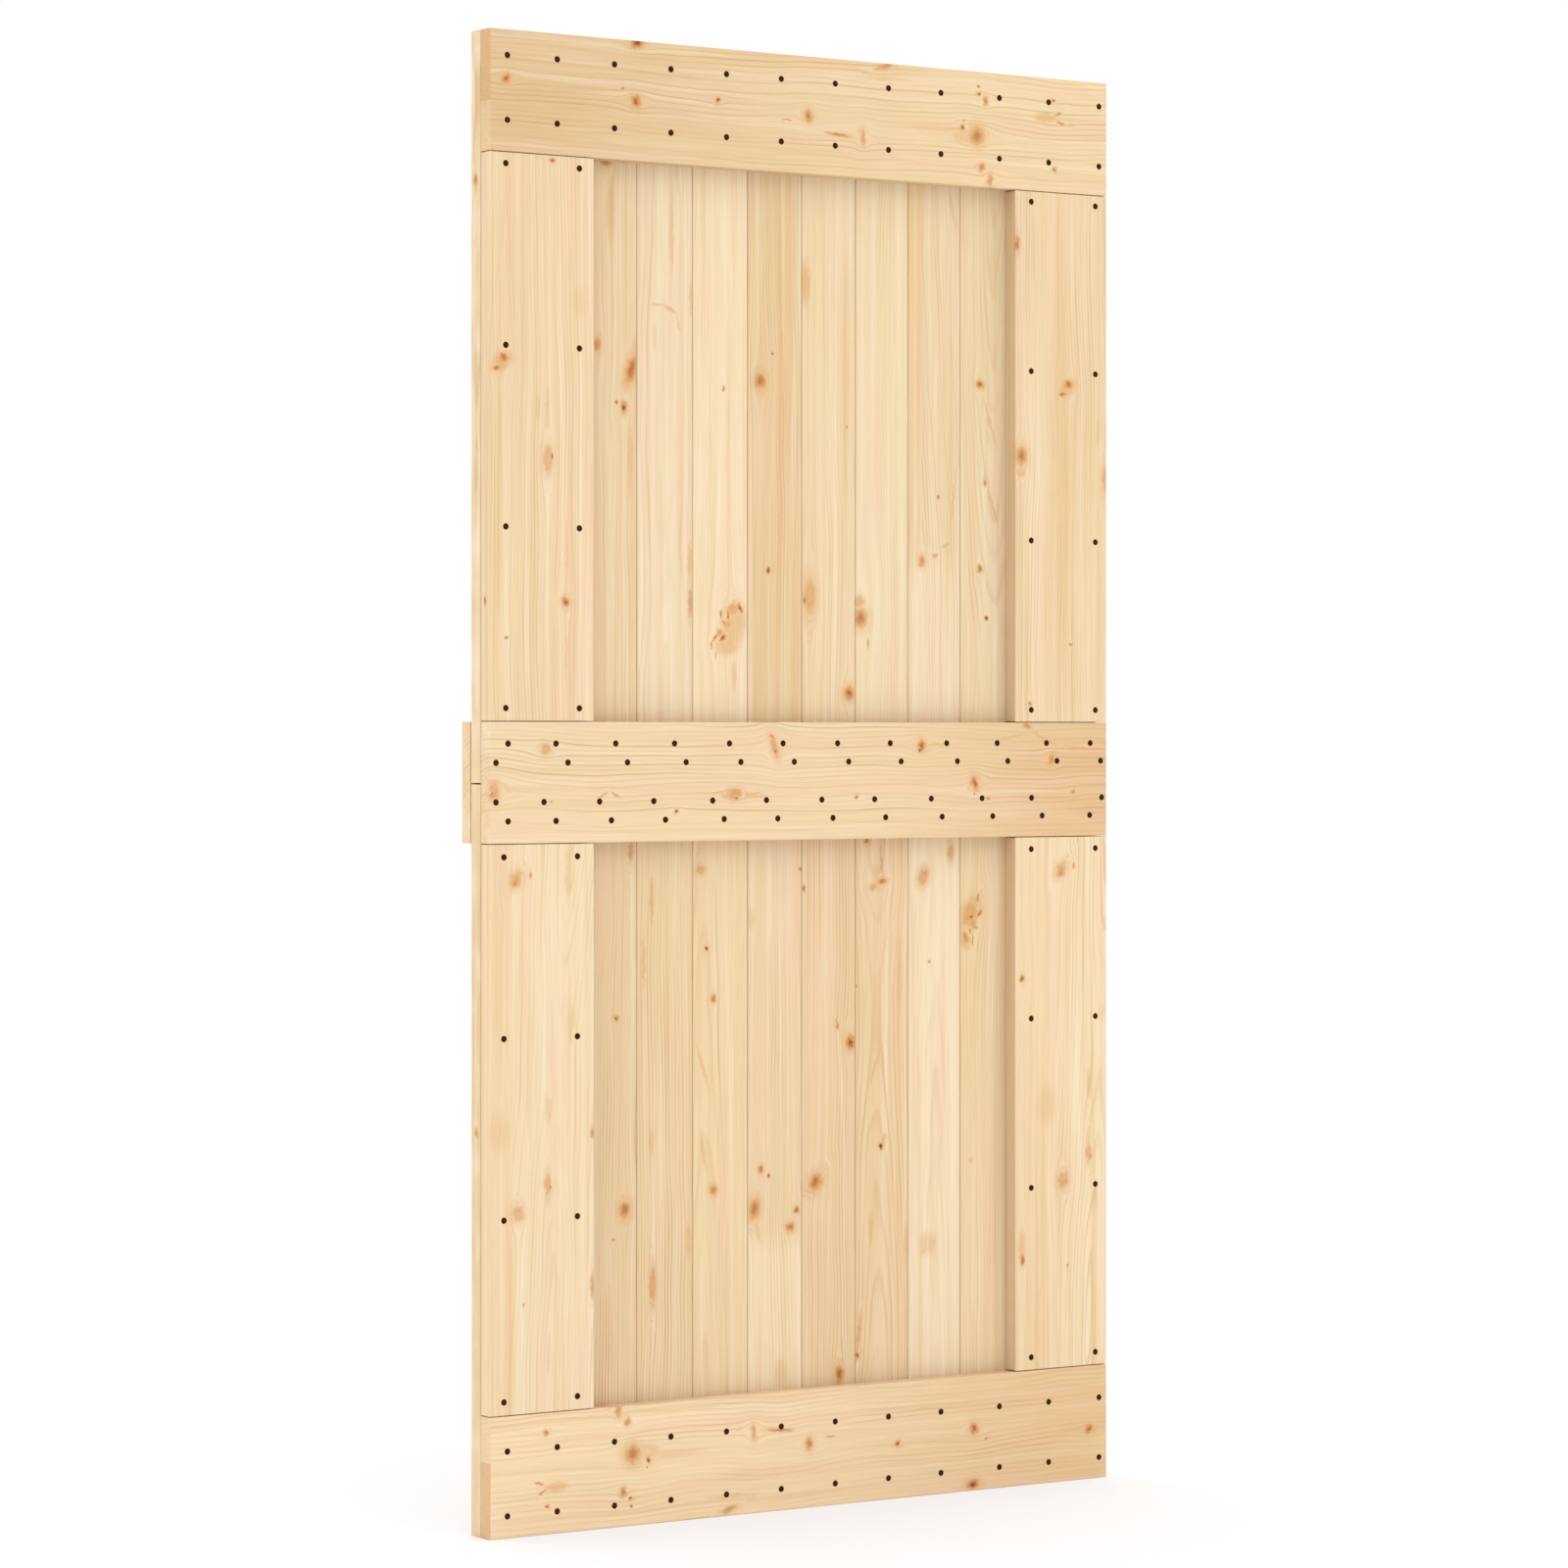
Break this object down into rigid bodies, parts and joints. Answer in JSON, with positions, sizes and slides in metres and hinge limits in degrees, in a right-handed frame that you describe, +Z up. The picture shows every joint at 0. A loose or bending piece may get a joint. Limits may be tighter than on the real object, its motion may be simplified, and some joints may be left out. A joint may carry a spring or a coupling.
{
  "type": "sliding door leaf",
  "caption": "Plank door leaf of bare pine with upright tongue-and-groove boards, front rails and stiles and a back rail, for hanging from a sliding track.",
  "frame": {"origin": "the middle of the top rail's front face, where hanger straps bolt on", "axes": "+X along the leaf's width, +Y from the front to the back, +Z up"},
  "size_m": [1.05, 0.075, 2.05],
  "materials": {
    "rails": "planed pine, bare",
    "stiles": "planed pine, bare",
    "boards": "planed pine, bare",
    "screws": "dark phosphate coating"
  },
  "bodies": {
    "root": {"top_rail": "rails", "middle_rail_front": "rails", "bottom_rail": "rails", "middle_rail_back": "rails", "upper_left_stile": "stiles", "upper_right_stile": "stiles", "lower_left_stile": "stiles", "lower_right_stile": "stiles", "upper_board_01": "boards", "upper_board_02": "boards", "upper_board_03": "boards", "upper_board_04": "boards", "upper_board_05": "boards", "upper_board_06": "boards", "upper_board_07": "boards", "upper_board_08": "boards", "upper_board_09": "boards", "upper_board_10": "boards", "upper_board_11": "boards", "upper_board_12": "boards", "lower_board_01": "boards", "lower_board_02": "boards", "lower_board_03": "boards", "lower_board_04": "boards", "lower_board_05": "boards", "lower_board_06": "boards", "lower_board_07": "boards", "lower_board_08": "boards", "lower_board_09": "boards", "lower_board_10": "boards", "lower_board_11": "boards", "lower_board_12": "boards"}
  },
  "joints": []
}
